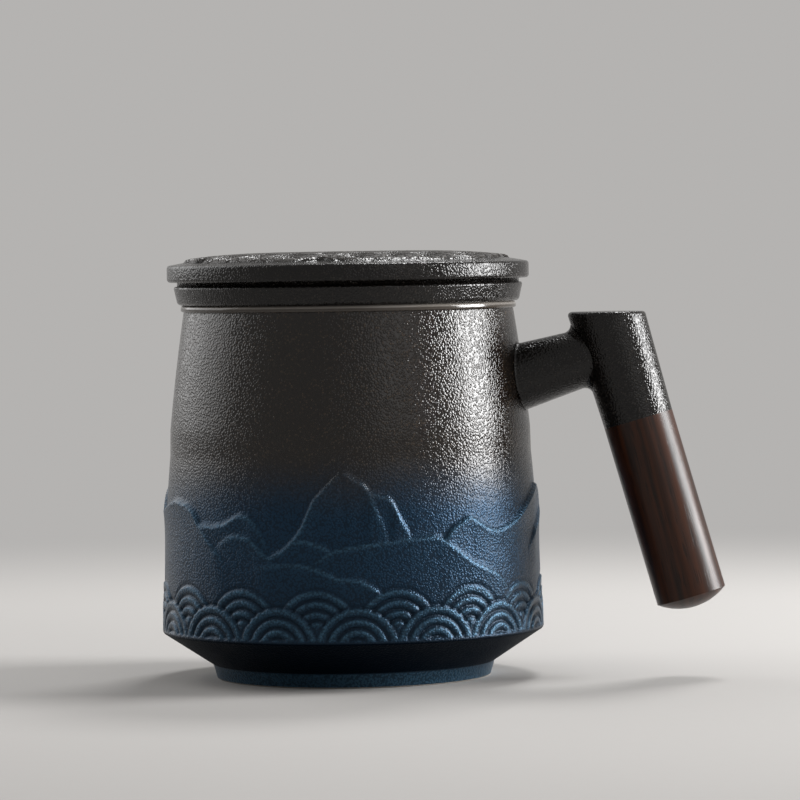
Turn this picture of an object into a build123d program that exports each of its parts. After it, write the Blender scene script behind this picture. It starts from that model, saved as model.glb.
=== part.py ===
from build123d import *

import os
from math import cos, hypot, pi, radians

# A lidded tea mug with a lift-out infuser and a turned wooden grip, in millimetres.
# +Z is up. The origin lies on the mug's axis, in the plane that the mug stands on.
# The handle lies in the plane Y = 0, on the +X side.

# Cup: foot ring, chamfered base, bowed wall and a rolled lip round the rim
cup_height = 90.0
belly_radius = 46.0
rim_radius = 39.7
wall_bow = 1.45
chamfer_run = 12.0
chamfer_rise = 7.9
foot_height = 3.5
foot_flare = 1.0
foot_ring_width = 5.0
foot_recess = 2.4
foot_rounding = 0.6
belly_rounding = 0.9
lip_height = 1.6
lip_overhang = 0.7
lip_rounding = 0.5
rim_outer_rounding = 0.8
rim_inner_rounding = 0.8
wall_thickness = 3.1
floor_thickness = 5.2
floor_rounding = 6.0

# Waves carved round the foot of the wall: two staggered rows of arches, each cut by rings of grooves
wave_count = 15
wave_turn = 10.8
wave_base = 10.1
wave_rise = 4.2
wave_rings = 4
wave_groove_depth = 0.5
wave_groove_share = 0.3
wave_edge_width = 0.8

# Infuser: a basket that hangs in the cup by a conical collar
infuser_clearance = 0.6
infuser_depth = 60.0
infuser_neck = 14.0
infuser_taper = 5.0
infuser_wall = 2.4
infuser_floor = 2.6
infuser_rounding = 6.0
collar_overhang = 0.7
collar_flare = 1.0
collar_height = 4.5
collar_rounding = 0.5
collar_heel_rounding = 1.1
mouth_rounding = 0.8

# Strainer holes, pierced through the infuser's floor and through a band of its wall
strainer_hole_radius = 1.2
floor_hole_pitch = 9.0
wall_hole_start = 11.0
wall_hole_band = 16.0
wall_hole_rise = 6.5
wall_hole_pitch = 11.5

# Lid: a domed disc with a seat that keeps a shadow gap open and a skirt that centres it
lid_overhang = 1.5
lid_gap = 1.0
lid_edge = 4.0
lid_dome = 3.1
lid_plate = 5.0
lid_edge_rounding = 0.8
lid_seat_inset = 0.9
skirt_clearance = 0.5
skirt_depth = 3.8
skirt_wall = 3.0
skirt_rounding = 0.8

# Handle: the socket and the grip share one axis, which leans away from the cup
handle_tilt = 16.0
elbow_reach = 18.9
elbow_drop = 11.6
arm_root_radius = 8.3
arm_tip_radius = 6.3
arm_root_rounding = 0.7
arm_tip_rounding = 2.0
luting_gap = 0.1
socket_rise = 8.7
socket_drop = 17.8
socket_flare = 0.6
socket_rounding = 0.9
grip_radius = 8.4
grip_length = 43.9
grip_dome = 2.8

# Stud that joins the grip to the socket, and the resin that beds it there
stud_radius = 3.0
stud_in_socket = 14.0
stud_in_grip = 24.0
stud_tip = 4.0
stud_clearance = 0.1
resin_thickness = 2.0
resin_cover = 2.0
resin_clearance = 0.05

# How far a cutting tool runs past the faces that it cuts
overrun = 2.0

# Places worked out from the sizes above
belly_height = foot_height + chamfer_rise
carving_low = belly_height + belly_rounding
wave_radius = pi * belly_radius / wave_count
foot_top_radius = belly_radius - chamfer_run
foot_radius = foot_top_radius - foot_flare
lip_low = cup_height - lip_height
lip_radius = rim_radius + lip_overhang
rim_inner_radius = rim_radius - wall_thickness
infuser_radius = rim_inner_radius - infuser_clearance
infuser_mouth_radius = infuser_radius - infuser_wall
infuser_base_radius = infuser_radius - infuser_taper
infuser_base = cup_height - infuser_depth
infuser_neck_low = cup_height - infuser_neck
collar_low_radius = lip_radius + collar_overhang
collar_top_radius = collar_low_radius + collar_flare
collar_top = cup_height + collar_height
lid_radius = collar_top_radius + lid_overhang
lid_seat_radius = collar_top_radius - lid_seat_inset
lid_low = collar_top + lid_gap
lid_shoulder = lid_low + lid_edge
lid_top = lid_shoulder + lid_dome
skirt_radius = infuser_mouth_radius - skirt_clearance
elbow_x = belly_radius + elbow_reach
elbow_z = cup_height - elbow_drop
elbow_frame = Pos(elbow_x, 0, elbow_z) * Rot(0, -handle_tilt, 0)
joint_frame = elbow_frame * Pos(0, 0, -socket_drop)
upright = (Align.CENTER, Align.CENTER, Align.MIN)


def turned(outline, *roundings):
    """Solid turned about Z from an outline of (radius, height), with some corners rounded."""
    face = make_face(outline)
    for corner, radius in roundings:
        vertex = face.vertices().sort_by_distance(corner)[0]
        face = fillet(vertex, radius)
    return revolve(Plane.XZ * face, Axis.Z)


def dome_arc(radius, base, rise):
    """Arc from the rim of a shallow dome to its crown on the axis; rise may be downward."""
    sphere = (radius**2 + rise**2) / (2 * abs(rise))
    half = radius / 2
    sag = sphere - (sphere**2 - half**2) ** 0.5
    crown = base + rise
    between = crown - sag if rise > 0 else crown + sag
    return ThreePointArc((radius, base), (half, between), (0, crown))


def wall_arc(inset, low):
    """The wall's bowed line from a low end up to the lip, set in from the outer face."""
    middle_radius = (belly_radius + rim_radius) / 2 + wall_bow
    middle_height = (belly_height + lip_low) / 2
    return ThreePointArc(
        (belly_radius - inset, low),
        (middle_radius - inset, middle_height),
        (rim_radius - inset, lip_low),
    )


def arch_grooves(low):
    """Grooves of one arch, in a plane with its centre at the origin and its low end cut off level."""
    ring_width = wave_radius / wave_rings
    groove_width = wave_groove_share * ring_width
    grooves = Circle(wave_radius + wave_edge_width) - Circle(wave_radius)
    # The small core of an arch stays plain
    for ring in range(1, wave_rings - 1):
        inner = wave_radius - ring * ring_width
        grooves += Circle(inner + groove_width) - Circle(inner)
    span = wave_radius + 2 * wave_edge_width
    return grooves & Pos(0, low + span / 2) * Rectangle(2 * span, span)


def wave_cutter(grooves, height):
    """Grooves sunk into the wall on its -Y side, to an even depth all over."""
    face = Plane(origin=(0, wall_thickness - belly_radius, height), x_dir=(1, 0, 0), z_dir=(0, -1, 0))
    tool = extrude(face * grooves, wall_thickness + overrun)
    return tool - wall_blank(-wave_groove_depth)


def wave_cutters():
    """One cutter for each arch; the upper arches stop at the lower ones in front of them."""
    half_pitch = 180 / wave_count
    lower = arch_grooves(carving_low - wave_base)
    upper = arch_grooves(carving_low - wave_base - wave_rise)
    front = Circle(wave_radius + wave_edge_width)
    for side in (-1, 1):
        upper -= Pos(side * wave_radius, -wave_rise) * front
    lower_cutter = wave_cutter(lower, wave_base)
    upper_cutter = Rot(0, 0, half_pitch) * wave_cutter(upper, wave_base + wave_rise)
    turns = [wave_turn + 2 * half_pitch * arch for arch in range(wave_count)]
    return [Rot(0, 0, turn) * cutter for turn in turns for cutter in (lower_cutter, upper_cutter)]


def make_cup_body():
    foot_inner = foot_radius - foot_ring_width
    # The cavity has a chamfer of its own, a wall's thickness inside the outer one
    inset = wall_thickness * hypot(chamfer_run, chamfer_rise) / chamfer_rise
    cavity_radius = belly_radius - wall_thickness
    cavity_low = belly_height + (inset - wall_thickness) * chamfer_rise / chamfer_run
    cavity_floor = foot_recess + floor_thickness
    floor_radius = cavity_radius - (cavity_low - cavity_floor) * chamfer_run / chamfer_rise
    outer_wall = wall_arc(0, belly_height)
    inner_wall = wall_arc(wall_thickness, cavity_low)
    rim = Polyline(
        outer_wall @ 1,
        (lip_radius, lip_low),
        (lip_radius, cup_height),
        (rim_inner_radius, cup_height),
        inner_wall @ 1,
    )
    base = Polyline(
        inner_wall @ 0,
        (floor_radius, cavity_floor),
        (0, cavity_floor),
        (0, foot_recess),
        (foot_inner, foot_recess),
        (foot_inner, 0),
        (foot_radius, 0),
        (foot_top_radius, foot_height),
        outer_wall @ 0,
    )
    cup = turned(
        outer_wall + rim + inner_wall + base,
        ((foot_inner, 0), foot_rounding),
        ((foot_radius, 0), foot_rounding),
        ((belly_radius, belly_height), belly_rounding),
        ((lip_radius, lip_low), lip_rounding),
        ((lip_radius, cup_height), rim_outer_rounding),
        ((rim_inner_radius, cup_height), rim_inner_rounding),
        ((cavity_radius, cavity_low), floor_rounding),
        ((floor_radius, cavity_floor), floor_rounding),
    )
    return cup - wave_cutters()


def floor_drills():
    """One drill in the middle of the infuser's floor, then rings of six, twelve and so on."""
    length = infuser_floor + 2 * overrun
    drill = Pos(0, 0, infuser_base - overrun) * Cylinder(strainer_hole_radius, length, align=upright)
    flat_radius = infuser_base_radius - infuser_rounding - strainer_hole_radius
    drills = [drill]
    for ring in range(1, int(flat_radius // floor_hole_pitch) + 1):
        drills += PolarLocations(ring * floor_hole_pitch, 6 * ring) * drill
    return drills


def wall_drills():
    """Drills through the infuser's lower wall, in rows staggered by half a pitch."""
    flare = infuser_taper / (infuser_neck_low - infuser_base)
    count = int(2 * pi * infuser_base_radius // wall_hole_pitch)
    drill = Rot(0, 90, 0) * Cylinder(strainer_hole_radius, infuser_wall + 2 * overrun)
    drills = []
    for row in range(int(wall_hole_band // wall_hole_rise) + 1):
        height = wall_hole_start + row * wall_hole_rise
        mid_wall = infuser_base_radius + flare * height - infuser_wall / 2
        turn = (row % 2) * 180 / count
        ring = PolarLocations(mid_wall, count, turn) * drill
        drills += [Pos(0, 0, infuser_base + height) * hole for hole in ring]
    return drills


def make_infuser_basket():
    inner_base_radius = infuser_base_radius - infuser_wall
    floor_top = infuser_base + infuser_floor
    outline = Polyline(
        (0, infuser_base),
        (infuser_base_radius, infuser_base),
        (infuser_radius, infuser_neck_low),
        (infuser_radius, cup_height),
        (collar_low_radius, cup_height),
        (collar_top_radius, collar_top),
        (infuser_mouth_radius, collar_top),
        (infuser_mouth_radius, infuser_neck_low),
        (inner_base_radius, floor_top),
        (0, floor_top),
        close=True,
    )
    basket = turned(
        outline,
        ((infuser_base_radius, infuser_base), infuser_rounding),
        ((inner_base_radius, floor_top), infuser_rounding - infuser_wall),
        ((collar_low_radius, cup_height), collar_heel_rounding),
        ((collar_top_radius, collar_top), collar_rounding),
        ((infuser_mouth_radius, collar_top), mouth_rounding),
    )
    return basket - floor_drills() - wall_drills()


def make_lid():
    ceiling = lid_top - lid_plate
    skirt_low = collar_top - skirt_depth
    skirt_inner = skirt_radius - skirt_wall
    dome = dome_arc(lid_radius, lid_shoulder, lid_dome)
    under = Polyline(
        dome @ 1,
        (0, ceiling),
        (skirt_inner, ceiling),
        (skirt_inner, skirt_low),
        (skirt_radius, skirt_low),
        (skirt_radius, collar_top),
        (lid_seat_radius, collar_top),
        (lid_seat_radius, lid_low),
        (lid_radius, lid_low),
        dome @ 0,
    )
    return turned(
        dome + under,
        ((lid_radius, lid_shoulder), lid_edge_rounding),
        ((lid_radius, lid_low), lid_edge_rounding),
        ((skirt_radius, skirt_low), skirt_rounding),
        ((skirt_inner, skirt_low), skirt_rounding),
        ((skirt_inner, ceiling), skirt_rounding),
    )


def wall_blank(gap):
    """The cup's wall, filled solid and swollen by a gap."""
    wall = wall_arc(-gap, belly_height)
    return turned(wall + Polyline(wall @ 1, (0, lip_low), (0, belly_height), wall @ 0))


def socket_blank(gap):
    """The socket's outer form, filled solid and swollen by a gap, cut off level at the top."""
    height = socket_drop + socket_rise
    flare = socket_flare / height
    # The blank runs past the level cut, which slants across the leaning axis
    full_height = height + grip_radius
    low_radius = grip_radius + gap
    outline = Polyline(
        (0, 0),
        (low_radius, 0),
        (low_radius + flare * full_height, full_height),
        (0, full_height),
        close=True,
    )
    level = Plane.XY.offset(elbow_z + socket_rise)
    return split(joint_frame * turned(outline), level, keep=Keep.BOTTOM)


def seam(joined):
    """Edges where two turned pieces run into each other."""
    plain = (GeomType.LINE, GeomType.CIRCLE, GeomType.ELLIPSE)
    return joined.edges().filter_by(lambda edge: edge.geom_type not in plain)


def make_handle_arm():
    reach = (elbow_x - rim_inner_radius) / cos(radians(handle_tilt))
    cone = Cone(arm_root_radius, arm_tip_radius, reach, align=upright)
    cone = elbow_frame * Pos(-reach, 0, 0) * Rot(0, 90, 0) * cone
    bare_length = elbow_reach - grip_radius
    middle = Plane(elbow_frame * Pos(-grip_radius - bare_length / 2, 0, 0) * Rot(0, 90, 0))
    root = split(cone, middle, keep=Keep.BOTTOM)
    tip = split(cone, middle, keep=Keep.TOP)
    # The luted joints are smoothed by fillets that belong to the arm
    flared_root = fillet(seam(root + wall_blank(0)), arm_root_rounding) - wall_blank(luting_gap)
    flared_tip = fillet(seam(tip + socket_blank(0)), arm_tip_rounding) - socket_blank(luting_gap)
    return flared_root + flared_tip


def make_handle_socket():
    post = socket_blank(0)
    post = fillet(post.faces().sort_by(Axis.Z)[-1].edges(), socket_rounding)
    hole = Cylinder(stud_radius + resin_thickness, stud_in_socket + resin_cover, align=upright)
    return post - joint_frame * hole


def stud_outline(gap):
    """Half section of the stud, swollen by a gap: pointed in the wood, square in the socket."""
    return Polyline(
        (0, -stud_in_grip - gap),
        (stud_radius + gap, stud_tip - stud_in_grip - gap),
        (stud_radius + gap, stud_in_socket),
        (0, stud_in_socket),
        close=True,
    )


def make_wood_grip():
    dome = dome_arc(grip_radius, -grip_length, -grip_dome)
    sides = Polyline(dome @ 1, (0, 0), (grip_radius, 0), dome @ 0)
    return joint_frame * (turned(dome + sides) - turned(stud_outline(stud_clearance)))


def make_grip_stud():
    return joint_frame * turned(stud_outline(0))


def make_stud_resin():
    plug_radius = stud_radius + resin_thickness - resin_clearance
    plug = Cylinder(plug_radius, stud_in_socket + resin_cover, align=upright)
    return joint_frame * (plug - turned(stud_outline(resin_clearance)))


def main():
    makers = {
        "cup_body": make_cup_body,
        "handle_arm": make_handle_arm,
        "handle_socket": make_handle_socket,
        "wood_grip": make_wood_grip,
        "grip_stud": make_grip_stud,
        "stud_resin": make_stud_resin,
        "infuser_basket": make_infuser_basket,
        "lid": make_lid,
    }
    os.makedirs("parts", exist_ok=True)
    for node, make in makers.items():
        export_step(make(), f"parts/{node}.step")


main()
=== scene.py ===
"""Looks of a lidded tea mug: a stoneware cup with carved hills and waves, an infuser, a lid and a wooden grip."""

import math

import bpy
import numpy as np
from bpy.props import FloatProperty, FloatVectorProperty, IntProperty, PointerProperty
from mathutils import Matrix, Vector


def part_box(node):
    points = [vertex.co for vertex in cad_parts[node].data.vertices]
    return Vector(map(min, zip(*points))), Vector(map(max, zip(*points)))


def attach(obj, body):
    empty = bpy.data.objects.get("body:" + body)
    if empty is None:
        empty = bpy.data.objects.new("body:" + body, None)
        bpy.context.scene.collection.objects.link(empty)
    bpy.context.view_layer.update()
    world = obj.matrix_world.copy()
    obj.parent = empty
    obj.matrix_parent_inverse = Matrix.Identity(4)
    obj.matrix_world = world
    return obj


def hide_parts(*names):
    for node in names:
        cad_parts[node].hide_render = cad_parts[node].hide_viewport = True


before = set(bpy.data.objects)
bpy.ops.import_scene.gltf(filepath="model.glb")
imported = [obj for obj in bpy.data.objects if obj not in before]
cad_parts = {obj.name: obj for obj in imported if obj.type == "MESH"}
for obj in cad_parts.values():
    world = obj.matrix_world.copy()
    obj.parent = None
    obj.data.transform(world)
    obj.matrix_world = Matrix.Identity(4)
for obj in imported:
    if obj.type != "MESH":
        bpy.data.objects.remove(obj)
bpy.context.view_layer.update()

bl_info = {
    "name": "Tea mug with infuser",
    "version": (1, 0, 0),
    "blender": (4, 5, 0),
    "location": "3D View > Sidebar > Tea mug",
    "description": "Builds the carved cup and lid, the glazes, the wood and a plain studio",
    "category": "Object",
}

# Everything is in metres; small sizes are written in millimetres
MM = 0.001

# The mug's axis is Z. Angles round it grow from -Y towards +X, where the handle is.
# The photograph looks at the side that lies a little way from -Y towards the handle.
CUP_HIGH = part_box("cup_body")[1]
LID_LOW, LID_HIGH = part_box("lid")
FACING = math.radians(9)
# How far the carved cup stays inside the solid's box
BOX_MARGIN = 0.01 * MM

# Columns of points round the carved bands and round the plain faces
CARVED_COLUMNS = 780
PLAIN_COLUMNS = CARVED_COLUMNS // 4
LID_COLUMNS = 640
LID_PLAIN_COLUMNS = LID_COLUMNS // 4
CORNER_STEP = math.radians(12)

# Spacing of the rings of points on the carved bands
WAVE_SPACING = 0.32 * MM
HILL_SPACING = 0.55 * MM
LID_SPACING = 0.36 * MM
LID_MIDDLE_SPACING = 0.5 * MM

# Pebbles in the glazes: how many lie side by side in a metre, and how high they stand
PEBBLES_PER_METRE = 1900.0
PEBBLE_HEIGHT = 0.07 * MM

# Rings of grooves in one arch of the waves
WAVE_RINGS = 4

# Hill lines on the wall, from the farthest to the nearest: degrees from the facing side and height in mm.
# The set is carved twice, on the front and on the back.
HILL_LINES = (
    ((-2, 30), (2, 48), (6.4, 46.6), (12.7, 45.2), (14.6, 41.6), (18.7, 36), (21, 28)),
    ((24, 30), (32, 37.8), (37, 39.8), (39, 40.3), (45.5, 37.3), (50, 36.5), (59, 38.3), (71, 42.8),
     (82, 46.5), (88, 44), (95, 38), (100, 31)),
    ((-32, 29), (-25, 31.6), (-20, 33.5), (-16.3, 36.5), (-13.5, 40), (-12, 44), (-8, 47.4), (-2, 52), (1.7, 49.6),
     (4.6, 48.7), (6.4, 46.3), (8, 42.5), (10.5, 38.7), (13, 31)),
    ((-58, 36), (-52, 38.9), (-46, 38.6), (-41, 39.2), (-35, 41.7), (-31, 40.8), (-28, 38), (-24, 32)),
    ((-112, 31), (-104, 36), (-92, 40), (-80, 42), (-68, 44.2), (-60, 43.3), (-56, 42), (-52, 38.7), (-46.5, 34.5),
     (-41.5, 31), (-37, 27)),
    ((-45, 33), (-40, 36), (-36, 36.8), (-31, 36), (-27, 33), (-23, 30.5), (-19, 27)),
    ((-22, 33), (-17, 35.4), (-13.4, 35.8), (-7.6, 34.2), (-2, 31), (4, 25)),
    ((-12, 30), (-4.5, 33.5), (5.5, 34.7), (18, 35.8), (26.3, 36.2), (29, 35.1), (38.8, 29.7), (49.5, 26.3),
     (58, 20)),
    ((-30, 29), (-24, 30), (-18, 30.2), (-13.5, 30), (-8.5, 28.8), (-3.5, 26.8), (2.6, 26.6), (8, 23.9), (14, 18)),
)
HILL_SETS = 2
# Degrees over which a hill fades out at each end, and over which its line is smoothed
HILL_END = 7
HILL_SMOOTHING = (-1.2, -0.6, 0, 0.6, 1.2)

# Softboxes: name, place in metres as seen from the facing side, width and height in metres, watts
SOFTBOXES = (
    ("right_softbox", (0.75, 0.03, 0.22), (0.34, 0.42), 11.5),
    ("front_softbox", (0.5, -0.8, 0.45), (0.55, 0.6), 0.9),
    ("left_softbox", (-0.76, 0.42, 0.5), (1.1, 0.9), 6.0),
    ("back_softbox", (0.2, 0.5, 0.9), (0.28, 0.28), 4.5),
)
SOFTBOX_AIM = (0, 0, 60 * MM)

# Backdrop and the even light of the room
BACKDROP = (0.46, 0.45, 0.44)
ROOM_LIGHT = (1, 0.99, 0.98, 1)
ROOM_STRENGTH = 0.2

# Floor: its size, and how far out it begins and ends to fade into the backdrop
FLOOR_RADIUS = 4.0
FLOOR_SIDES = 96
FLOOR_FADE = (0.22, 0.55)

# Camera as fitted to the photograph: its place seen from the facing side, its tilt and its lens
CAMERA_PLACE = (12.1 * MM, -1050 * MM, 103.2 * MM)
CAMERA_DOWN = math.radians(2.01)
CAMERA_ROLL = math.radians(0.9)
SENSOR_WIDTH = 36
PHOTO_PIXELS = 800
FOCAL_PIXELS = 4354


class CupSizes(bpy.types.PropertyGroup):
    """Sizes of the cup's section and of its carving."""

    height: FloatProperty(
        name="Height", description="From the table to the rim", default=CUP_HIGH.z, unit="LENGTH"
    )
    belly_radius: FloatProperty(
        name="Belly radius", description="Radius at the sharp corner above the chamfer",
        default=CUP_HIGH.y - BOX_MARGIN, unit="LENGTH"
    )
    rim_radius: FloatProperty(
        name="Rim radius", description="Outer radius of the wall under the lip", default=39.7 * MM, unit="LENGTH"
    )
    wall_bow: FloatProperty(
        name="Wall bow", description="How far the wall bulges at half height", default=1.45 * MM, unit="LENGTH"
    )
    wall: FloatProperty(name="Wall", description="Thickness of the wall", default=3.1 * MM, unit="LENGTH")
    lip_height: FloatProperty(
        name="Lip height", description="Height of the rolled lip round the rim", default=1.6 * MM, unit="LENGTH"
    )
    lip_overhang: FloatProperty(
        name="Lip overhang", description="How far the lip stands out of the wall", default=0.7 * MM, unit="LENGTH"
    )
    chamfer_run: FloatProperty(
        name="Chamfer run", description="Width of the chamfer above the foot", default=12 * MM, unit="LENGTH"
    )
    chamfer_rise: FloatProperty(
        name="Chamfer rise", description="Height of the chamfer above the foot", default=7.9 * MM, unit="LENGTH"
    )
    foot_height: FloatProperty(
        name="Foot height", description="Height of the foot ring", default=3.5 * MM, unit="LENGTH"
    )
    foot_flare: FloatProperty(
        name="Foot flare", description="How much the foot ring narrows downwards", default=1 * MM, unit="LENGTH"
    )
    foot_ring: FloatProperty(name="Foot ring", description="Width of the foot ring", default=5 * MM, unit="LENGTH")
    foot_recess: FloatProperty(
        name="Foot recess", description="Depth of the hollow under the foot", default=2.4 * MM, unit="LENGTH"
    )
    floor: FloatProperty(name="Floor", description="Thickness of the floor", default=5.2 * MM, unit="LENGTH")
    wave_count: IntProperty(name="Waves", description="Arches in one row of waves", default=15, min=3)
    wave_turn: FloatProperty(
        name="Wave turn", description="Turn of the lower row of waves", default=math.radians(1.8), subtype="ANGLE"
    )
    wave_low: FloatProperty(
        name="Lower wave centres", description="Height of the lower arches' centres", default=10.1 * MM, unit="LENGTH"
    )
    wave_rise: FloatProperty(
        name="Wave rise", description="How far the upper row stands above the lower", default=4.2 * MM, unit="LENGTH"
    )
    groove_depth: FloatProperty(
        name="Groove depth", description="Depth of the grooves between wave rings", default=0.6 * MM, unit="LENGTH"
    )
    hill_step: FloatProperty(
        name="Hill step", description="How far a hill's edge stands out", default=1.0 * MM, unit="LENGTH"
    )


class LidSizes(bpy.types.PropertyGroup):
    """Sizes of the lid's section and of its carving."""

    dome: FloatProperty(
        name="Dome", description="Rise of the domed top with its relief", default=3.1 * MM, unit="LENGTH"
    )
    crown: FloatProperty(
        name="Crown", description="Rise of the top under its relief", default=2.2 * MM, unit="LENGTH"
    )
    edge: FloatProperty(name="Edge", description="Height of the upright edge", default=4 * MM, unit="LENGTH")
    gap: FloatProperty(name="Shadow gap", description="Gap under the edge", default=1 * MM, unit="LENGTH")
    plate: FloatProperty(name="Plate", description="Thickness at the middle", default=5 * MM, unit="LENGTH")
    seat_radius: FloatProperty(
        name="Seat radius", description="Radius of the ring that rests on the infuser", default=41.2 * MM, unit="LENGTH"
    )
    skirt_radius: FloatProperty(
        name="Skirt radius", description="Outer radius of the centring skirt", default=33.1 * MM, unit="LENGTH"
    )
    skirt_wall: FloatProperty(name="Skirt wall", description="Thickness of the skirt", default=3 * MM, unit="LENGTH")
    wave_radius: FloatProperty(name="Wave radius", description="Radius of one arch", default=7.5 * MM, unit="LENGTH")
    groove_depth: FloatProperty(
        name="Groove depth", description="Depth of the grooves between wave rings", default=0.7 * MM, unit="LENGTH"
    )
    wave_step: FloatProperty(
        name="Wave step", description="How far an arch stands above the one behind", default=0.8 * MM, unit="LENGTH"
    )
    wave_lift: FloatProperty(
        name="Wave lift", description="How far the arches stand out of the crown", default=0.8 * MM, unit="LENGTH"
    )


class Finishes(bpy.types.PropertyGroup):
    """Colours of the glazes, the clay, the wood and the stage."""

    blue: FloatVectorProperty(
        name="Blue glaze", description="Satin blue on the lower wall", default=(0.004, 0.024, 0.052),
        subtype="COLOR", size=3
    )
    # Painted highlight: lighter blue on ring and hill edges and on the foot band, partly where the glaze thins over
    # edges
    blue_thin_and_highlight: FloatVectorProperty(
        name="Blue on edges", description="Where the blue glaze thins over edges", default=(0.036, 0.092, 0.148),
        subtype="COLOR", size=3
    )
    # Painted shade: darker blue in grooves, gutters, pebble hollows and on the chamfer, partly where the glaze pools
    blue_pool_and_shade: FloatVectorProperty(
        name="Blue in hollows", description="Where the blue glaze pools", default=(0.0008, 0.004, 0.009),
        subtype="COLOR", size=3
    )
    bronze: FloatVectorProperty(
        name="Bronze black", description="Brown-black glaze on the upper wall", default=(0.0070, 0.0046, 0.0030),
        subtype="COLOR", size=3
    )
    # Gold-brown flecks on the pebble tops, which also stand in for painted sparkle glints
    bronze_fleck_and_glint: FloatVectorProperty(
        name="Bronze flecks", description="Gold-brown flecks in the upper glaze", default=(0.060, 0.040, 0.024),
        subtype="COLOR", size=3
    )
    black: FloatVectorProperty(
        name="Black glaze", description="Semi-gloss glaze on the lid, infuser and handle",
        default=(0.0050, 0.0042, 0.0037), subtype="COLOR", size=3
    )
    # Painted highlight: brown on the lid's crests, on flecks and on the lip band, partly where the black glaze thins
    black_thin_and_highlight: FloatVectorProperty(
        name="Black on edges", description="Where the black glaze thins over edges", default=(0.045, 0.037, 0.030),
        subtype="COLOR", size=3
    )
    clay: FloatVectorProperty(
        name="Bare clay", description="Unglazed stoneware under the foot", default=(0.30, 0.27, 0.24),
        subtype="COLOR", size=3
    )
    # Painted highlight: a pale line on the top of the lip's rounding, partly thin glaze at the rim
    lip: FloatVectorProperty(
        name="Lip", description="Thin glaze on the edge of the rolled lip", default=(0.16, 0.145, 0.13),
        subtype="COLOR", size=3
    )
    wood: FloatVectorProperty(
        name="Wood", description="Oiled dark wood", default=(0.032, 0.0092, 0.0030), subtype="COLOR", size=3
    )
    wood_dark: FloatVectorProperty(
        name="Wood streaks", description="Dark streaks in the wood", default=(0.007, 0.003, 0.0019),
        subtype="COLOR", size=3
    )
    floor: FloatVectorProperty(
        name="Floor", description="Pale studio floor", default=(0.52, 0.505, 0.49), subtype="COLOR", size=3
    )


# Shapes


def round_corners(corners):
    """Points of an outline whose corners (radius, height, rounding) are rounded by arcs."""
    places = [np.array(corner[:2]) for corner in corners]
    points = [places[0]]
    for before, here, after, corner in zip(places, places[1:], places[2:], corners[1:]):
        rounding = corner[2]
        if not rounding:
            points.append(here)
            continue
        back = (before - here) / np.linalg.norm(before - here)
        ahead = (after - here) / np.linalg.norm(after - here)
        half = math.acos(np.clip(back @ ahead, -1, 1)) / 2
        centre = here + (back + ahead) / np.linalg.norm(back + ahead) * rounding / math.sin(half)
        start = here + back * rounding / math.tan(half)
        end = here + ahead * rounding / math.tan(half)
        sweep = math.pi - 2 * half
        for share in np.linspace(0, 1, max(2, math.ceil(sweep / CORNER_STEP)) + 1):
            # The arc's points lie between its ends, pushed out to its radius
            aim = (start - centre) * math.sin((1 - share) * sweep) + (end - centre) * math.sin(share * sweep)
            points.append(centre + aim / math.sin(sweep))
    points.append(places[-1])
    return points


def arc_radius(low, middle, high):
    """Function that gives the radius at a height on the arc through three (radius, height) points."""
    places = np.array([low, middle, high])
    lines = np.column_stack([places, np.ones(len(places))])
    across, up, rest = np.linalg.solve(lines, -(places**2).sum(axis=1))
    centre = np.array([across, up]) / -2
    size = math.sqrt(centre @ centre - rest)
    return lambda height: centre[0] + np.sqrt(size**2 - (height - centre[1]) ** 2)


def crown_height(radius, rise):
    """Function that gives the height above its rim of a flat-topped crown, at a distance from its axis."""
    return lambda distance: rise * (1 - (distance / radius) ** 4)


def ring(radius, height, columns):
    """Points round the axis at one radius and height, each a number or one for each column."""
    turn = np.arange(columns) * 2 * math.pi / columns
    radius = np.broadcast_to(radius, columns)
    return np.column_stack([radius * np.sin(turn), -radius * np.cos(turn), np.broadcast_to(height, columns)])


def turned_rings(outline, columns):
    """Rings for an outline of (radius, height); a point on the axis is a ring of one."""
    return [ring(r, z, columns if r > 0 else 1) for r, z in outline]


def ring_mesh(name, rings, marks):
    """Closed mesh from rings of points, with named marks at each point.

    Neighbouring rings have as many points as each other, or one has a whole number of times as many.
    """
    starts = np.concatenate([[0], np.cumsum([len(points) for points in rings])])
    faces = []
    for low, high, a, b in zip(rings, rings[1:], starts, starts[1:]):
        count = min(len(low), len(high)) if min(len(low), len(high)) > 1 else max(len(low), len(high))
        below, above = len(low) // count, len(high) // count
        for j in range(count):
            k = (j + 1) % count
            lower = [a + j * below + i for i in range(below)] + [a + k * below] if below else [a]
            upper = [b + j * above + i for i in range(above)] + [b + k * above] if above else [b]
            faces.append(lower + upper[::-1])
    mesh = bpy.data.meshes.new(name)
    mesh.from_pydata(np.concatenate(rings).tolist(), [], faces)
    for label, values in marks.items():
        mesh.attributes.new(label, "FLOAT", "POINT").data.foreach_set("value", np.concatenate(values))
    mesh.shade_smooth()
    mesh.validate()
    piece = bpy.data.objects.new(name, mesh)
    bpy.context.scene.collection.objects.link(piece)
    return piece


def soft_step(value, width):
    """0 to 1 as a distance goes from half a width outside an edge to half a width inside."""
    share = np.clip(value / width + 0.5, 0, 1)
    return share * share * (3 - 2 * share)


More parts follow.
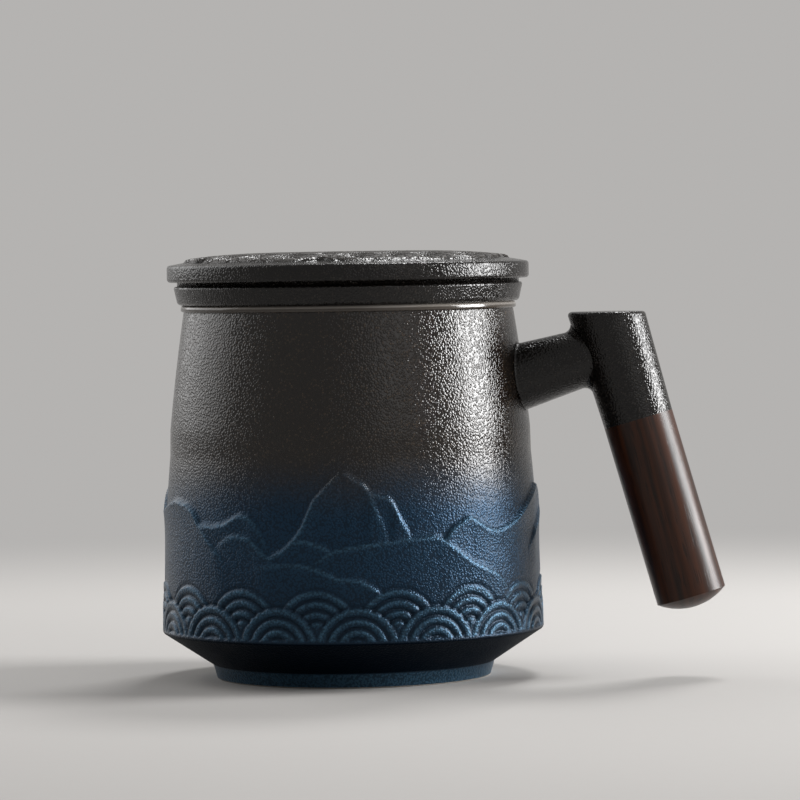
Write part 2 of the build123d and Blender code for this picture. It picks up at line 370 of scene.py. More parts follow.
def wave_profile(inside, arch, groove_depth):
    """Relief, crest and pool marks of one arch, by how far a point lies inside its outer edge.

    Each ring is highest at its outer edge, sinks inwards and ends in a groove. The crest mark paints a highlight on the
    rings, brightest near their outer edges and partly thin glaze; the pool mark paints shade in the grooves, partly
    pooled glaze.
    """
    # Shares of one ring's width, counted inwards from its outer edge
    core_start, core_blend = 3.3, 0.3
    groove_start, start_blend = 0.68, 0.2
    groove_end, next_start, end_blend = 0.97, 0.06, 0.16
    crest_place, crest_width = 0.2, 0.16
    # Shares of the groove's depth, and of the crest's painted highlight, partly thin glaze, on the flat and on the edge
    next_depth, sink = 0.5, 0.35
    flat_tint, edge_tint = 0.25, 0.75
    ring_width = arch / WAVE_RINGS
    share = np.mod(np.clip(inside, 0, None), ring_width) / ring_width
    ringed = 1 - soft_step(inside - core_start * ring_width, core_blend * ring_width)
    groove = soft_step(share - groove_start, start_blend) * (1 - soft_step(share - groove_end, end_blend)) * ringed
    rest_of_groove = next_depth * (1 - soft_step(share - next_start, end_blend)) * ringed
    groove = np.where(inside > ring_width, np.maximum(groove, rest_of_groove), groove)
    edge = np.exp(-(((share - crest_place) / crest_width) ** 2)) * ringed
    relief = -groove_depth * (groove + sink * share * ringed * (1 - groove))
    return relief, (flat_tint + edge_tint * edge) * (1 - groove), groove


def carve_waves(cup, turn, height, relief, crest, pool_and_shade):
    """Adds the two rows of waves to the carving that lies under them."""
    edge_width, row_step = 0.45 * MM, 0.1 * MM
    gutter_width, gutter_depth = 0.4 * MM, 0.25 * MM
    # Painted shade, partly pooled glaze: a dark line in the gutter just outside each arch, and darker grooves
    gutter_pool_and_shade, groove_pool_and_shade = 0.35, 0.6
    arch = math.pi * cup.belly_radius / cup.wave_count
    pitch = 2 * math.pi / cup.wave_count
    for row in (1, 0):
        shift = cup.wave_turn + row * pitch / 2
        across = (np.mod(turn - shift + pitch / 2, pitch) - pitch / 2) * cup.belly_radius
        inside = arch - np.hypot(across, height - cup.wave_low - row * cup.wave_rise)
        mask = soft_step(inside, edge_width)
        grooves, ridge, hollow = wave_profile(inside, arch, cup.groove_depth)
        gutter = np.exp(-(((inside + edge_width) / gutter_width) ** 2))
        relief = (relief - gutter_depth * gutter) * (1 - mask) + (grooves - row * row_step) * mask
        crest = crest * (1 - gutter) * (1 - mask) + ridge * mask
        pool_and_shade = np.maximum(pool_and_shade, gutter_pool_and_shade * gutter) * (1 - mask) + groove_pool_and_shade * hollow * mask
    return relief, crest, pool_and_shade


def carve_hills(cup, turn, height):
    """Relief, crest and pool marks of the hills, each standing out at its top edge and sinking below it; the crest mark
    is a painted highlight on the edge with a lighter tone fading down the hill, the pool mark painted shade in a line
    just above the edge.
    """
    edge_width, fall = 0.6 * MM, 5 * MM
    # Painted shade in a dark line just above each hill's edge
    gutter_place, gutter_width, gutter_pool_and_shade = 0.5 * MM, 0.5 * MM, 0.2
    # Painted highlight on each hill's edge, and a painted lighter tone that fades down the hill below it
    crest_place, crest_width, crest_tint, flat_tint = 0.3 * MM, 0.4 * MM, 0.7, 0.12
    # The wall behind the hills lies as deep as a hill does far below its edge, in shares of the step
    rise_share, back_share = 0.9, 0.45
    relief = np.full(np.broadcast(turn, height).shape, -back_share * cup.hill_step)
    crest = np.zeros_like(relief)
    pool_and_shade = np.zeros_like(relief)
    degrees = np.degrees(turn)
    for line in HILL_LINES:
        angles, tops = np.array(line).T
        for half in range(HILL_SETS):
            near = np.mod(degrees - half * 360 / HILL_SETS + 180, 360) - 180
            # The line is smoothed a little, and its hill fades out towards both ends
            top = np.mean([np.interp(near + off, angles, tops) for off in HILL_SMOOTHING], axis=0) * MM
            fade = np.clip(np.minimum(near - angles[0], angles[-1] - near) / HILL_END, 0, 1)
            slope = np.gradient(top, np.radians(360 / CARVED_COLUMNS) * cup.belly_radius)
            inside = (top - height) / np.hypot(1, slope)
            mask = soft_step(inside, edge_width) * fade
            below = np.exp(-np.clip(inside, 0, None) / fall)
            gutter = gutter_pool_and_shade * fade * np.exp(-(((inside + gutter_place) / gutter_width) ** 2))
            edge = crest_tint * np.exp(-(((inside - crest_place) / crest_width) ** 2)) + flat_tint * below
            relief = relief * (1 - mask) + cup.hill_step * (rise_share * below - back_share) * mask
            crest = crest * (1 - gutter) * (1 - mask) + edge * mask
            pool_and_shade = np.maximum(pool_and_shade, gutter) * (1 - mask)
    return relief, crest, pool_and_shade


def cup_rings(cup):
    """Rings of the cup, from the middle of its underside over the rim to the middle of its floor."""
    belly = cup.foot_height + cup.chamfer_rise
    foot_top = cup.belly_radius - cup.chamfer_run
    foot = foot_top - cup.foot_flare
    foot_inner = foot - cup.foot_ring
    lip = cup.rim_radius + cup.lip_overhang
    lip_low = cup.height - cup.lip_height
    rim_inner = cup.rim_radius - cup.wall
    middle = (cup.belly_radius + cup.rim_radius) / 2 + cup.wall_bow
    half_height = (belly + lip_low) / 2
    outer = arc_radius((cup.belly_radius, belly), (middle, half_height), (cup.rim_radius, lip_low))
    inset = cup.wall * math.hypot(cup.chamfer_run, cup.chamfer_rise) / cup.chamfer_rise
    cavity = cup.belly_radius - cup.wall
    cavity_low = belly + (inset - cup.wall) * cup.chamfer_rise / cup.chamfer_run
    cavity_floor = cup.foot_recess + cup.floor
    cavity_flat = cavity - (cavity_low - cavity_floor) * cup.chamfer_run / cup.chamfer_rise
    inner = arc_radius((cavity, cavity_low), (middle - cup.wall, half_height), (rim_inner, lip_low))
    carved_low, hills_low, hills_high, carved_high = 12 * MM, 25 * MM, 54 * MM, 60 * MM
    carving_fade, fade_rings, neck_rings, wall_rings = 0.6 * MM, 6, 12, 14
    foot_rounding, belly_rounding, cavity_rounding = 0.6 * MM, 0.9 * MM, 6 * MM
    neck_rounding, lip_rounding, rim_rounding = 0.15 * MM, 0.5 * MM, 0.8 * MM
    neck_high, floor_high = lip_low - 1 * MM, cavity_low + cavity_rounding

    foot_outline = round_corners([
        (0, cup.foot_recess, 0), (foot_inner, cup.foot_recess, 0),
        (foot_inner, 0, foot_rounding), (foot, 0, foot_rounding), (foot_top, cup.foot_height, 0),
        (cup.belly_radius, belly, belly_rounding), (outer(carved_low), carved_low, 0),
    ])[:-1]
    rings = turned_rings(foot_outline, PLAIN_COLUMNS)
    marks = {name: [np.zeros(len(points)) for points in rings] for name in ("crest", "pool_and_shade")}

    turn = np.arange(CARVED_COLUMNS) * 2 * math.pi / CARVED_COLUMNS - FACING
    heights = np.concatenate([
        np.arange(carved_low, hills_low, WAVE_SPACING), np.arange(hills_low, hills_high, HILL_SPACING),
        np.linspace(hills_high, carved_high, fade_rings),
    ])
    for height in heights:
        relief, crest, pool_and_shade = carve_waves(cup, turn, height, *carve_hills(cup, turn, height))
        fade = np.clip((carved_high - height) / (carved_high - hills_high), 0, 1)
        fade = min(fade, (height - carved_low) / carving_fade, 1)
        rings.append(ring(outer(height) + relief * fade, height, CARVED_COLUMNS))
        marks["crest"].append(crest * fade)
        marks["pool_and_shade"].append(pool_and_shade * fade)

    rim_outline = [(outer(z), z) for z in np.linspace(carved_high, neck_high, neck_rings)[1:-1]]
    rim_outline += round_corners([
        (outer(neck_high), neck_high, 0), (cup.rim_radius, lip_low, neck_rounding), (lip, lip_low, lip_rounding),
        (lip, cup.height, rim_rounding), (rim_inner, cup.height, rim_rounding), (rim_inner, lip_low, 0),
    ])
    inside_start = len(rings) + len(rim_outline) - 1
    rim_outline += [(inner(z), z) for z in np.linspace(lip_low, floor_high, wall_rings)[1:-1]]
    rim_outline += round_corners([
        (inner(floor_high), floor_high, 0), (cavity, cavity_low, cavity_rounding),
        (cavity_flat, cavity_floor, cavity_rounding), (cavity_flat / 2, cavity_floor, 0), (0, cavity_floor, 0),
    ])
    plain = turned_rings(rim_outline, PLAIN_COLUMNS)
    rings += plain
    for name in ("crest", "pool_and_shade"):
        marks[name] += [np.zeros(len(points)) for points in plain]
    marks["inner"] = [np.full(len(points), float(i >= inside_start)) for i, points in enumerate(rings)]
    return rings, marks


def carve_lid(lid, across, along, rim):
    """Relief and crest mark of the rows of waves on the lid, whose last arches scallop a plain rim; the crest mark is
    painted highlight on the rings' edges, partly thin glaze.
    """
    edge_width, rim_fade, overlap_share = 0.4 * MM, 0.8 * MM, 0.45
    arch = lid.wave_radius
    spacing = arch / 2
    relief = np.full(across.shape, -lid.wave_step)
    crest = np.zeros_like(relief)
    rows = math.ceil(rim / spacing) + 2
    for row in range(rows, -rows - 1, -1):
        shifted = across + (row % 2) * arch
        from_centre = np.mod(shifted + arch, 2 * arch) - arch
        inside = arch - np.hypot(from_centre, along - row * spacing)
        whole = np.hypot(across - from_centre, row * spacing) < rim - overlap_share * arch
        mask = soft_step(inside, edge_width) * whole
        grooves, ridge, _ = wave_profile(inside, arch, lid.groove_depth)
        body = grooves - lid.wave_step * np.clip(inside / arch, 0, 1)
        relief = relief * (1 - mask) + body * mask
        crest = crest * (1 - mask) + ridge * mask
    fade = np.clip((rim - np.hypot(across, along)) / rim_fade, 0, 1)
    return (relief + lid.wave_lift) * fade, crest * fade


def lid_rings(lid):
    """Rings of the lid, from the middle of its underside over the edge to its crown."""
    radius = LID_HIGH.x
    shoulder = LID_HIGH.z - lid.dome
    low = shoulder - lid.edge
    seat = low - lid.gap
    ceiling = LID_HIGH.z - lid.plate
    skirt_inner = lid.skirt_radius - lid.skirt_wall
    crown = crown_height(radius, lid.crown)
    rounding, plain_rim = 0.8 * MM, 3.5 * MM
    carved = radius - plain_rim
    fine_inside, innermost = 14 * MM, 0.5 * MM

    under = round_corners([
        (0, ceiling, 0), (skirt_inner, ceiling, rounding), (skirt_inner, LID_LOW.z, rounding),
        (lid.skirt_radius, LID_LOW.z, rounding), (lid.skirt_radius, seat, 0), (lid.seat_radius, seat, 0),
        (lid.seat_radius, low, 0), (radius, low, rounding), (radius, shoulder, rounding),
        (carved, shoulder + crown(carved), 0),
    ])[:-1]
    rings = turned_rings(under, LID_PLAIN_COLUMNS)
    marks = {"crest": [np.zeros(len(points)) for points in rings]}
    spans = (
        (carved, fine_inside, LID_SPACING, LID_COLUMNS),
        (fine_inside, innermost, LID_MIDDLE_SPACING, LID_PLAIN_COLUMNS),
    )
    top = [
        ring(distance, shoulder + crown(distance), columns)
        for start, stop, spacing, columns in spans
        for distance in np.arange(start, stop, -spacing)
    ]
    top.append(ring(0.0, shoulder + lid.crown, 1))
    for points in top:
        relief, crest = carve_lid(lid, points[:, 0], points[:, 1], carved)
        points[:, 2] = np.minimum(points[:, 2] + relief, LID_HIGH.z)
        rings.append(points)
        marks["crest"].append(crest)
    return rings, marks


# Shader helpers


def add(tree, kind, inputs=None, **settings):
    """A new node with its settings, and its inputs set to values or linked to sockets."""
    node = tree.nodes.new(kind)
    for key, value in settings.items():
        setattr(node, key, value)
    for key, value in (inputs or {}).items():
        if isinstance(value, bpy.types.NodeSocket):
            tree.links.new(value, node.inputs[key])
        else:
            node.inputs[key].default_value = value
    return node


def maths(tree, operation, a, b=0.0, c=0.0):
    """Output of a Math node."""
    return add(tree, "ShaderNodeMath", {0: a, 1: b, 2: c}, operation=operation).outputs[0]


def ramp(tree, value, low, high, to_low=0.0, to_high=1.0):
    """Output of a smooth Map Range node."""
    return add(
        tree, "ShaderNodeMapRange",
        {"Value": value, "From Min": low, "From Max": high, "To Min": to_low, "To Max": to_high},
        interpolation_type="SMOOTHSTEP",
    ).outputs["Result"]


def blend(tree, share, a, b):
    """Output of a colour Mix node."""
    a = a if isinstance(a, bpy.types.NodeSocket) else (*a, 1)
    b = b if isinstance(b, bpy.types.NodeSocket) else (*b, 1)
    return add(tree, "ShaderNodeMix", {0: share, 6: a, 7: b}, data_type="RGBA").outputs[2]


def mark(tree, name):
    """Value of a mesh's own mark."""
    return add(tree, "ShaderNodeAttribute", attribute_name=name, attribute_type="GEOMETRY").outputs["Fac"]


def new_group(name, inputs, outputs):
    """A shader node group with float or vector inputs and float outputs; returns it with its two end nodes."""
    group = bpy.data.node_groups.new(name, "ShaderNodeTree")
    for label, kind, value in inputs:
        socket = group.interface.new_socket(label, in_out="INPUT", socket_type=kind)
        if value is not None:
            socket.default_value = value
    for label in outputs:
        group.interface.new_socket(label, in_out="OUTPUT", socket_type="NodeSocketFloat")
    return group, group.nodes.new("NodeGroupInput"), group.nodes.new("NodeGroupOutput")


def pebble_group():
    """Fine pebbled grain of the glaze: its height, the hollows between pebbles and a few bright flecks on pebble tops,
    which also stand in for painted glints.
    """
    name = "Pebbled glaze"
    if name in bpy.data.node_groups:
        return bpy.data.node_groups[name]
    group, given, out = new_group(
        name,
        [("Place", "NodeSocketVector", None), ("Grain", "NodeSocketFloat", 1500.0)],
        ["Height", "Hollows", "Flecks and glints"],
    )
    place, grain = given.outputs["Place"], given.outputs["Grain"]
    # A faint share of noise bends the pebbles out of round
    bend_share = 0.00035
    bend = add(group, "ShaderNodeTexNoise", {"Vector": place, "Scale": 900.0, "Detail": 1.0})
    moved = add(
        group, "ShaderNodeMix", {0: bend_share, 4: place, 5: bend.outputs["Color"]}, data_type="VECTOR"
    ).outputs[1]
    cells = add(
        group, "ShaderNodeTexVoronoi", {"Vector": moved, "Scale": grain, "Smoothness": 0.35, "Randomness": 1.0},
        feature="SMOOTH_F1",
    )
    mounds = ramp(group, cells.outputs["Distance"], 0.75, 0.1)
    swell = add(group, "ShaderNodeTexNoise", {"Vector": place, "Scale": 420.0, "Detail": 2.0})
    fine = add(group, "ShaderNodeTexNoise", {"Vector": place, "Scale": 2600.0, "Detail": 1.0})
    grit = maths(group, "MULTIPLY_ADD", fine.outputs["Fac"], 0.5, mounds)
    height = maths(group, "MULTIPLY_ADD", swell.outputs["Fac"], 0.5, grit)
    tint = add(group, "ShaderNodeSeparateColor", {"Color": cells.outputs["Color"]})
    flecks_and_glints = maths(group, "MULTIPLY", ramp(group, tint.outputs[0], 0.62, 0.95), mounds)
    group.links.new(height, out.inputs["Height"])
    group.links.new(ramp(group, mounds, 0.45, 0.05), out.inputs["Hollows"])
    group.links.new(flecks_and_glints, out.inputs["Flecks and glints"])
    return group


def kiln_group():
    """Slow variation that firing leaves in a glaze."""
    name = "Kiln variation"
    if name in bpy.data.node_groups:
        return bpy.data.node_groups[name]
    group, given, out = new_group(
        name, [("Place", "NodeSocketVector", None), ("Scale", "NodeSocketFloat", 60.0)], ["Clouds"]
    )
    clouds = add(
        group, "ShaderNodeTexNoise",
        {"Vector": given.outputs["Place"], "Scale": given.outputs["Scale"], "Detail": 4.0, "Roughness": 0.6},
    )
    group.links.new(ramp(group, clouds.outputs["Fac"], 0.3, 0.7), out.inputs["Clouds"])
    return group


def new_material(name):
    """A node material with its Principled shader and the object's own coordinates."""
    material = bpy.data.materials.new(name)
    material.use_nodes = True
    tree = material.node_tree
    shader = tree.nodes["Principled BSDF"]
    place = add(tree, "ShaderNodeTexCoord").outputs["Object"]
    return material, tree, shader, place


def use_group(tree, group, **inputs):
    """A node that places a group."""
    return add(tree, "ShaderNodeGroup", inputs, node_tree=group)


def bump(tree, shader, height, depth):
    """Feeds a height to the shader's normal."""
    node = add(tree, "ShaderNodeBump", {"Strength": 1.0, "Distance": depth, "Height": height})
    tree.links.new(node.outputs["Normal"], shader.inputs["Normal"])


def cup_glaze(colours):
    """Pebbled satin blue that runs into bronze black above, with a smooth lip and bare clay under the foot; painted
    highlight on edges, the foot band and the lip, and painted shade in hollows and on the chamfer.
    """
    material, tree, shader, place = new_material("blue_black_glaze")
    height = add(tree, "ShaderNodeSeparateXYZ", {0: place}).outputs["Z"]
    pebbles = use_group(tree, pebble_group(), Place=place, Grain=PEBBLES_PER_METRE).outputs
    clouds = use_group(tree, kiln_group(), Place=place, Scale=70.0).outputs["Clouds"]
    inner = mark(tree, "inner")
    # Heights between which one part of the glaze gives way to the next
    run_reach, bronze_from, bronze_full = 2 * MM, 41 * MM, 57.5 * MM
    deep_from, deep_full = 30 * MM, 14 * MM
    belly_from, belly_full, foot_from, foot_full = 12.2 * MM, 11.4 * MM, 3.8 * MM, 3.2 * MM
    lip_from, lip_full, rim_from, rim_full = 88.3 * MM, 88.7 * MM, 89.1 * MM, 89.4 * MM
    bare_from, bare_full = 0.35 * MM, 0.2 * MM
    # How strongly each of them shows in the colour, the metal lustre and the roughness
    deep_share, hollow_share, foot_share, pool_and_shade_share, fleck_and_glint_share = 0.5, 0.55, 0.8, 0.95, 0.6
    satin_lustre, satin_rough, chamfer_rough, bare_rough = 0.65, 0.22, 2.2, 0.9
    run = maths(tree, "MULTIPLY_ADD", clouds, run_reach, height)
    dark = maths(tree, "MAXIMUM", ramp(tree, run, bronze_from, bronze_full), inner)
    low = ramp(tree, height, deep_from, deep_full)
    under = ramp(tree, height, belly_from, belly_full)
    foot = ramp(tree, height, foot_from, foot_full)
    # Painted highlight: lighter blue where the crest mark lies, partly thin glaze over edges
    thin_and_highlight = maths(tree, "MULTIPLY", mark(tree, "crest"), ramp(tree, clouds, 0.0, 1.0, 0.6, 1.0))
    # Painted shade: darker blue in grooves, gutters, pebble hollows and on the whole chamfer, partly pooled glaze
    pooled_and_shaded = maths(tree, "MAXIMUM", mark(tree, "pool_and_shade"), maths(tree, "MULTIPLY", pebbles["Hollows"], hollow_share))
    outside = maths(tree, "SUBTRACT", 1.0, inner)
    chamfer = maths(tree, "MULTIPLY", maths(tree, "SUBTRACT", under, foot), outside)
    pooled_and_shaded = maths(tree, "MAXIMUM", pooled_and_shaded, chamfer)
    deep_blue = tuple(0.5 * c for c in colours.blue)
    blue = blend(tree, maths(tree, "MULTIPLY", low, deep_share), colours.blue, deep_blue)
    blue = blend(tree, thin_and_highlight, blue, colours.blue_thin_and_highlight)
    # Painted light: the foot band is blended towards the lighter edge blue
    blue = blend(tree, maths(tree, "MULTIPLY", foot, foot_share), blue, colours.blue_thin_and_highlight)
    blue = blend(tree, maths(tree, "MULTIPLY", pooled_and_shaded, pool_and_shade_share), blue, colours.blue_pool_and_shade)
    # Gold-brown flecks on pebble tops, which also stand in for painted sparkle glints
    flecks_and_glints = maths(tree, "MULTIPLY", pebbles["Flecks and glints"], fleck_and_glint_share)
    bronze = blend(tree, flecks_and_glints, colours.bronze, colours.bronze_fleck_and_glint)
    # Painted highlight: a lighter band on the lip and a pale line on its top rounding, partly thin glaze at the rim
    lip = maths(tree, "MULTIPLY", ramp(tree, height, lip_from, lip_full), outside)
    bronze = blend(tree, lip, bronze, colours.black_thin_and_highlight)
    rim = maths(tree, "MULTIPLY", lip, ramp(tree, height, rim_from, rim_full))
    bronze = blend(tree, rim, bronze, colours.lip)
    glaze = blend(tree, dark, blue, bronze)
    bare = ramp(tree, height, bare_from, bare_full)
    tree.links.new(blend(tree, bare, glaze, colours.clay), shader.inputs["Base Color"])
    satin = maths(tree, "SUBTRACT", 1.0, maths(tree, "MAXIMUM", dark, bare))
    lustre = maths(tree, "MAXIMUM", maths(tree, "MULTIPLY", satin, satin_lustre), chamfer)
    tree.links.new(lustre, shader.inputs["Metallic"])
    dull = maths(tree, "MAXIMUM", satin, maths(tree, "MULTIPLY", chamfer, chamfer_rough))
    rough = maths(tree, "MULTIPLY_ADD", dull, satin_rough, ramp(tree, clouds, 0.0, 1.0, 0.13, 0.19))
    rough = maths(tree, "MAXIMUM", rough, maths(tree, "MULTIPLY", bare, bare_rough))
    tree.links.new(rough, shader.inputs["Roughness"])
    shader.inputs["Specular IOR Level"].default_value = 0.4
    grain = maths(tree, "MULTIPLY", pebbles["Height"], maths(tree, "SUBTRACT", 1.0, lip))
    bump(tree, shader, grain, PEBBLE_HEIGHT)
    return material


def black_glaze(colours):
    """Pebbled semi-gloss black glaze, brown on crests and flecks: partly thin glaze, partly painted highlight and
    glints.
    """
    material, tree, shader, place = new_material("black_glaze")
    pebbles = use_group(tree, pebble_group(), Place=place, Grain=PEBBLES_PER_METRE).outputs
    clouds = use_group(tree, kiln_group(), Place=place, Scale=90.0).outputs["Clouds"]
    crest = mark(tree, "crest")
    crest_share, fleck_and_glint_share = 0.6, 0.4
    flecks_and_glints = maths(tree, "MULTIPLY", pebbles["Flecks and glints"], fleck_and_glint_share)
    # Painted highlight and glints: brown on the crest mark and on flecks, partly thin glaze
    thin_and_highlight = maths(tree, "MULTIPLY_ADD", crest, crest_share, flecks_and_glints)
    tree.links.new(blend(tree, thin_and_highlight, colours.black, colours.black_thin_and_highlight), shader.inputs["Base Color"])
    tree.links.new(ramp(tree, clouds, 0.0, 1.0, 0.13, 0.20), shader.inputs["Roughness"])
    shader.inputs["Specular IOR Level"].default_value = 0.3
    grain = maths(tree, "MULTIPLY", pebbles["Height"], ramp(tree, crest, 0.0, 1.0, 1.0, 0.3))
    bump(tree, shader, grain, PEBBLE_HEIGHT)
    return material


def dark_wood(colours, tilt):
    """Oiled dark wood with long grain along the leaning grip, and open pores."""
    material, tree, shader, place = new_material("dark_wood")
    along = add(tree, "ShaderNodeMapping", {"Vector": place, "Rotation": (0, tilt, 0)}).outputs["Vector"]
    stretched = add(tree, "ShaderNodeMapping", {"Vector": along, "Scale": (1, 1, 0.06)}).outputs["Vector"]
    streaks = add(
        tree, "ShaderNodeTexNoise",
        {"Vector": stretched, "Scale": 420.0, "Detail": 5.0, "Roughness": 0.6, "Distortion": 0.6},
    ).outputs["Fac"]
    rings = add(
        tree, "ShaderNodeTexWave",
        {"Vector": stretched, "Scale": 130.0, "Distortion": 5.0, "Detail": 3.0, "Detail Scale": 1.5},
        wave_type="BANDS", bands_direction="X",
    ).outputs["Fac"]
    pores = add(tree, "ShaderNodeTexNoise", {"Vector": stretched, "Scale": 2600.0, "Detail": 1.0}).outputs["Fac"]
    pore = ramp(tree, pores, 0.40, 0.30)
    light_share, ring_share, pore_share, streak_height = 2.1, 0.35, 0.7, 0.5
    light = tuple(light_share * c for c in colours.wood)
    wood = blend(tree, ramp(tree, streaks, 0.35, 0.68), colours.wood_dark, colours.wood)
    wood = blend(tree, maths(tree, "MULTIPLY", rings, ring_share), wood, light)
    wood = blend(tree, maths(tree, "MULTIPLY", pore, pore_share), wood, colours.wood_dark)
    tree.links.new(wood, shader.inputs["Base Color"])
    tree.links.new(ramp(tree, streaks, 0.3, 0.7, 0.38, 0.30), shader.inputs["Roughness"])
    shader.inputs["Specular IOR Level"].default_value = 0.25
    relief = maths(tree, "SUBTRACT", maths(tree, "MULTIPLY", streaks, streak_height), pore)
    bump(tree, shader, relief, 0.01 * MM)
    return material


def stud_steel():
    """Drawn steel with fine lines."""
    material, tree, shader, place = new_material("stud_steel")
    lines = add(tree, "ShaderNodeTexNoise", {"Vector": place, "Scale": 1800.0, "Detail": 3.0}).outputs["Fac"]
    tree.links.new(blend(tree, lines, (0.42, 0.42, 0.43), (0.62, 0.62, 0.62)), shader.inputs["Base Color"])
    tree.links.new(ramp(tree, lines, 0.3, 0.7, 0.3, 0.45), shader.inputs["Roughness"])
    shader.inputs["Metallic"].default_value = 1.0
    bump(tree, shader, lines, 0.02 * MM)
    return material


def amber_resin():
    """Cured resin with small bubbles."""
    material, tree, shader, place = new_material("resin")
    bubbles = add(tree, "ShaderNodeTexVoronoi", {"Vector": place, "Scale": 900.0}).outputs["Distance"]
    clouds = use_group(tree, kiln_group(), Place=place, Scale=300.0).outputs["Clouds"]
    tree.links.new(blend(tree, clouds, (0.50, 0.44, 0.33), (0.60, 0.55, 0.45)), shader.inputs["Base Color"])
    tree.links.new(ramp(tree, bubbles, 0.0, 0.4, 0.45, 0.25), shader.inputs["Roughness"])
    bump(tree, shader, ramp(tree, bubbles, 0.05, 0.2), 0.05 * MM)
    return material


def paint(piece, material):
    """Gives a piece one material."""
    piece.data.materials.clear()
    piece.data.materials.append(material)


def finish_for(name, make, *values):
    """A material made once and shared."""
    material = bpy.data.materials.get(name + "_finish")
    if material is None:
        material = make(*values)
        material.name = name + "_finish"
    return material


# Operators


class MUG_OT_cup(bpy.types.Operator):
    """Carve the cup and glaze it"""

    bl_idname = "mug.cup"
    bl_label = "Cup"

    def execute(self, context):
        cup = ring_mesh("carved_cup", *cup_rings(context.scene.mug_cup))
        paint(cup, finish_for("cup_glaze", cup_glaze, context.scene.mug_finishes))
        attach(cup, "cup")
        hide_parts("cup_body")
        return {"FINISHED"}


class MUG_OT_lid(bpy.types.Operator):
    """Carve the lid and glaze it"""

    bl_idname = "mug.lid"
    bl_label = "Lid"

    def execute(self, context):
        lid = ring_mesh("carved_lid", *lid_rings(context.scene.mug_lid))
        paint(lid, finish_for("black_glaze", black_glaze, context.scene.mug_finishes))
        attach(lid, "lid")
        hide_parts("lid")
        return {"FINISHED"}


class MUG_OT_black_ware(bpy.types.Operator):
    """Glaze the infuser, the arm and the socket"""

    bl_idname = "mug.black_ware"
    bl_label = "Infuser, arm and socket"

    def execute(self, context):
        glaze = finish_for("black_glaze", black_glaze, context.scene.mug_finishes)
        for node in ("infuser_basket", "handle_arm", "handle_socket"):
            paint(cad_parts[node], glaze)
        return {"FINISHED"}


class MUG_OT_grip(bpy.types.Operator):
    """Finish the wooden grip and the stud and resin inside it"""

    bl_idname = "mug.grip"
    bl_label = "Grip, stud and resin"

    def execute(self, context):
        stud_low, stud_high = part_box("grip_stud")
        # The stud lies along the leaning axis, so the sides of its box give the lean
        thick = stud_high.y - stud_low.y
        tilt = math.atan2(stud_high.x - stud_low.x - thick, stud_high.z - stud_low.z)
        paint(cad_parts["wood_grip"], finish_for("dark_wood", dark_wood, context.scene.mug_finishes, tilt))
        paint(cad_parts["grip_stud"], finish_for("stud_steel", stud_steel))
        paint(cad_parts["stud_resin"], finish_for("resin", amber_resin))
        return {"FINISHED"}


def area_light(name, place, size, power):
    """A soft rectangular lamp that faces the mug; its place is seen from the facing side."""
    data = bpy.data.lights.new(name, "AREA")
    data.shape = "RECTANGLE"
    data.size, data.size_y = size
    data.energy = power
    lamp = bpy.data.objects.new(name, data)
    lamp.visible_camera = False
    lamp.location = Matrix.Rotation(FACING, 3, "Z") @ Vector(place)
    lamp.rotation_euler = (Vector(SOFTBOX_AIM) - lamp.location).to_track_quat("-Z", "Y").to_euler()
    bpy.context.scene.collection.objects.link(lamp)


def studio_world():
    """Low even light all round, seen as a pale backdrop."""
    world = bpy.data.worlds.new("studio")
    bpy.context.scene.world = world
    world.use_nodes = True
    tree = world.node_tree
    light = tree.nodes["Background"]
    light.inputs["Color"].default_value = ROOM_LIGHT
    light.inputs["Strength"].default_value = ROOM_STRENGTH
    seen = add(tree, "ShaderNodeBackground", {"Color": (*BACKDROP, 1), "Strength": 1.0})
    mixed = add(tree, "ShaderNodeMixShader", {0: seen_rays(tree), 1: light.outputs[0], 2: seen.outputs[0]})
    tree.links.new(mixed.outputs[0], tree.nodes["World Output"].inputs["Surface"])


def seen_rays(tree):
    """1 for rays that show the backdrop: straight from the camera, mirrored or through glass."""
    path = add(tree, "ShaderNodeLightPath").outputs
    straight = maths(tree, "MAXIMUM", path["Is Camera Ray"], path["Is Glossy Ray"])
    return maths(tree, "MAXIMUM", straight, path["Is Transmission Ray"])


def stage_floor(colours):
    """A wide pale floor that fades into the backdrop."""
    points = ring(FLOOR_RADIUS, 0.0, FLOOR_SIDES)
    mesh = bpy.data.meshes.new("floor")
    mesh.from_pydata(points.tolist(), [], [list(range(len(points)))])
    floor = bpy.data.objects.new("floor", mesh)
    bpy.context.scene.collection.objects.link(floor)
    material, tree, shader, place = new_material("studio_floor")
    grain = add(tree, "ShaderNodeTexNoise", {"Vector": place, "Scale": 260.0, "Detail": 3.0}).outputs["Fac"]
    tree.links.new(
        blend(tree, grain, tuple(0.98 * c for c in colours.floor), colours.floor), shader.inputs["Base Color"]
    )
    shader.inputs["Roughness"].default_value = 0.75
    shader.inputs["Specular IOR Level"].default_value = 0.0
    reach = add(tree, "ShaderNodeVectorMath", {0: place}, operation="LENGTH").outputs["Value"]
    far = maths(tree, "MULTIPLY", ramp(tree, reach, *FLOOR_FADE), seen_rays(tree))
    glow = add(tree, "ShaderNodeEmission", {"Color": (*BACKDROP, 1), "Strength": 1.0})
    mixed = add(tree, "ShaderNodeMixShader", {0: far, 1: shader.outputs[0], 2: glow.outputs[0]})
    tree.links.new(mixed.outputs[0], tree.nodes["Material Output"].inputs["Surface"])
    paint(floor, material)


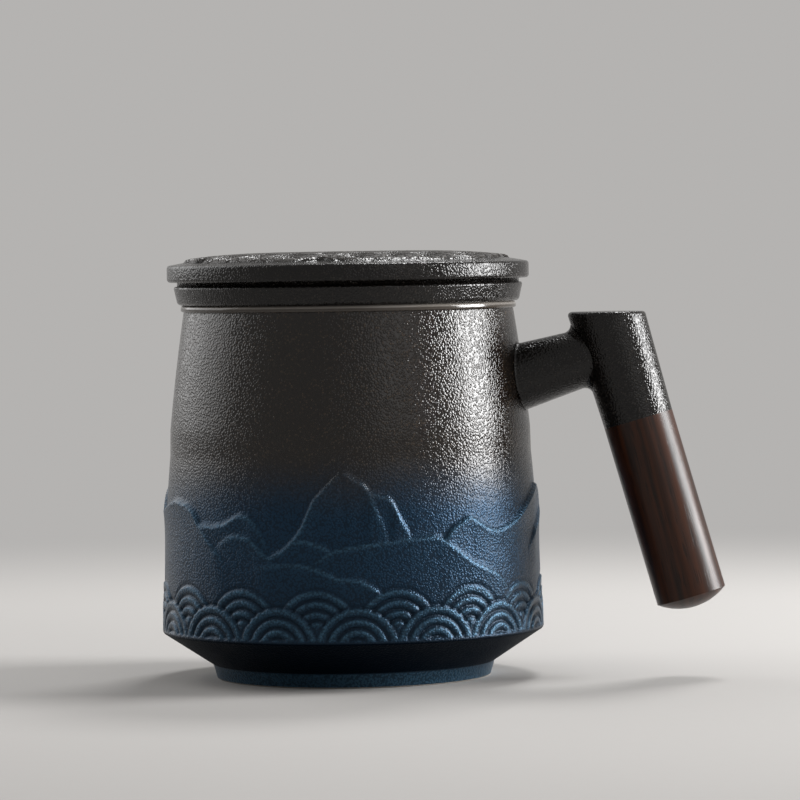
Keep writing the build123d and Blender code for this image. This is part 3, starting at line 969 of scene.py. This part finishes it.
def photo_camera():
    """The camera at the photograph's place and angle."""
    data = bpy.data.cameras.new("photo_camera")
    data.sensor_width = SENSOR_WIDTH
    data.lens = SENSOR_WIDTH * FOCAL_PIXELS / PHOTO_PIXELS
    camera = bpy.data.objects.new("photo_camera", data)
    camera.matrix_world = (
        Matrix.Rotation(FACING, 4, "Z")
        @ Matrix.Translation(CAMERA_PLACE)
        @ Matrix.Rotation(math.pi / 2 - CAMERA_DOWN, 4, "X")
        @ Matrix.Rotation(-CAMERA_ROLL, 4, "Z")
    )
    bpy.context.scene.collection.objects.link(camera)
    bpy.context.scene.camera = camera


class MUG_OT_stage(bpy.types.Operator):
    """Set up the floor, the soft lights and the camera"""

    bl_idname = "mug.stage"
    bl_label = "Stage"

    def execute(self, context):
        context.scene.view_settings.view_transform = "Standard"
        studio_world()
        stage_floor(context.scene.mug_finishes)
        for softbox in SOFTBOXES:
            area_light(*softbox)
        photo_camera()
        return {"FINISHED"}


class MUG_PT_panel(bpy.types.Panel):
    """The mug's pieces, sizes and colours"""

    bl_idname = "MUG_PT_panel"
    bl_label = "Tea mug"
    bl_space_type = "VIEW_3D"
    bl_region_type = "UI"
    bl_category = "Tea mug"

    def draw(self, context):
        for operator in OPERATORS:
            self.layout.operator(operator.bl_idname)
        for settings in (context.scene.mug_cup, context.scene.mug_lid, context.scene.mug_finishes):
            for name in settings.bl_rna.properties.keys():
                if name not in ("rna_type", "name"):
                    self.layout.prop(settings, name)


OPERATORS = (MUG_OT_cup, MUG_OT_lid, MUG_OT_black_ware, MUG_OT_grip, MUG_OT_stage)
CLASSES = (CupSizes, LidSizes, Finishes, *OPERATORS, MUG_PT_panel)


def register():
    for cls in CLASSES:
        bpy.utils.register_class(cls)
    bpy.types.Scene.mug_cup = PointerProperty(type=CupSizes)
    bpy.types.Scene.mug_lid = PointerProperty(type=LidSizes)
    bpy.types.Scene.mug_finishes = PointerProperty(type=Finishes)


def unregister():
    del bpy.types.Scene.mug_finishes
    del bpy.types.Scene.mug_lid
    del bpy.types.Scene.mug_cup
    for cls in reversed(CLASSES):
        bpy.utils.unregister_class(cls)


def main():
    register()
    bpy.ops.mug.cup()
    bpy.ops.mug.lid()
    bpy.ops.mug.black_ware()
    bpy.ops.mug.grip()
    bpy.ops.mug.stage()


if __name__ == "__main__":
    main()
